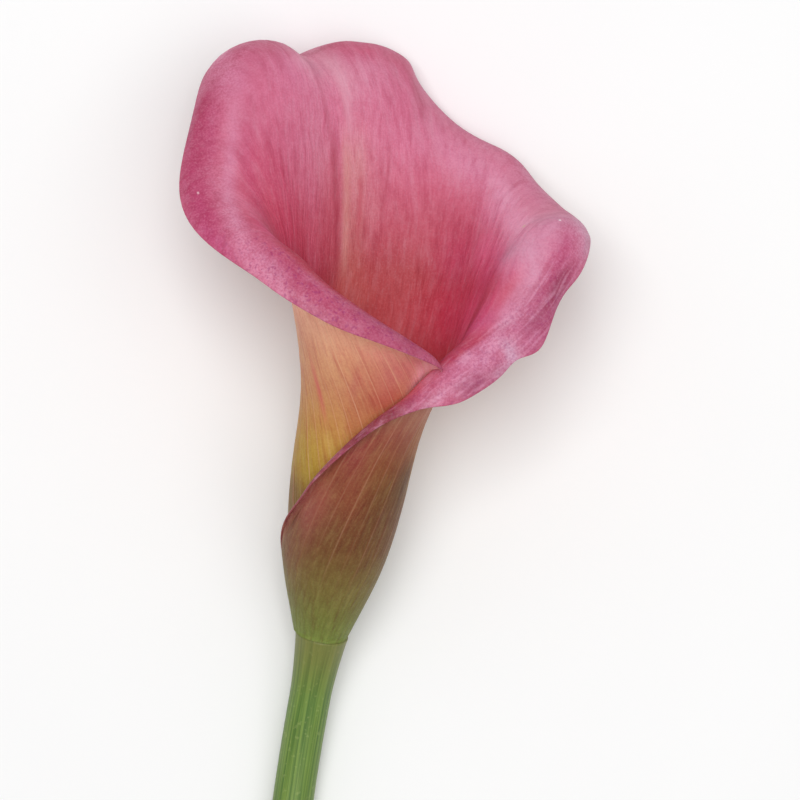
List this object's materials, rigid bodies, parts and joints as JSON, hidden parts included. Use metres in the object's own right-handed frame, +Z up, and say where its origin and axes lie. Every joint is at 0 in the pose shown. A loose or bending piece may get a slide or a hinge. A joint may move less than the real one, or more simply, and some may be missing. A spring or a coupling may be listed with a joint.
{
  "type": "arum lily flower",
  "caption": "Single calla (arum lily) flower with a rolled funnel-shaped spathe round its spadix, picked with its stem and lying on its back.",
  "frame": {"origin": "centre of the flower's outline seen from above, on the surface it lies on", "axes": "+Y along the flower from the cut stem to the mouth, +Z up from the surface, +X to the flower's right seen from above with the mouth at the top"},
  "size_m": [0.0814, 0.2451, 0.0604],
  "materials": {
    "spathe": "soft satin petal, pink inside, olive yellow to mauve brown on the tube outside",
    "stamens": "dull, powdery with pollen",
    "ovaries": "smooth, waxy green yellow",
    "stem": "smooth satin green, moist pale cut"
  },
  "bodies": {
    "root": {"spathe": "spathe", "spadix_stamens": "stamens", "spadix_ovaries": "ovaries", "stem": "stem"}
  },
  "joints": []
}
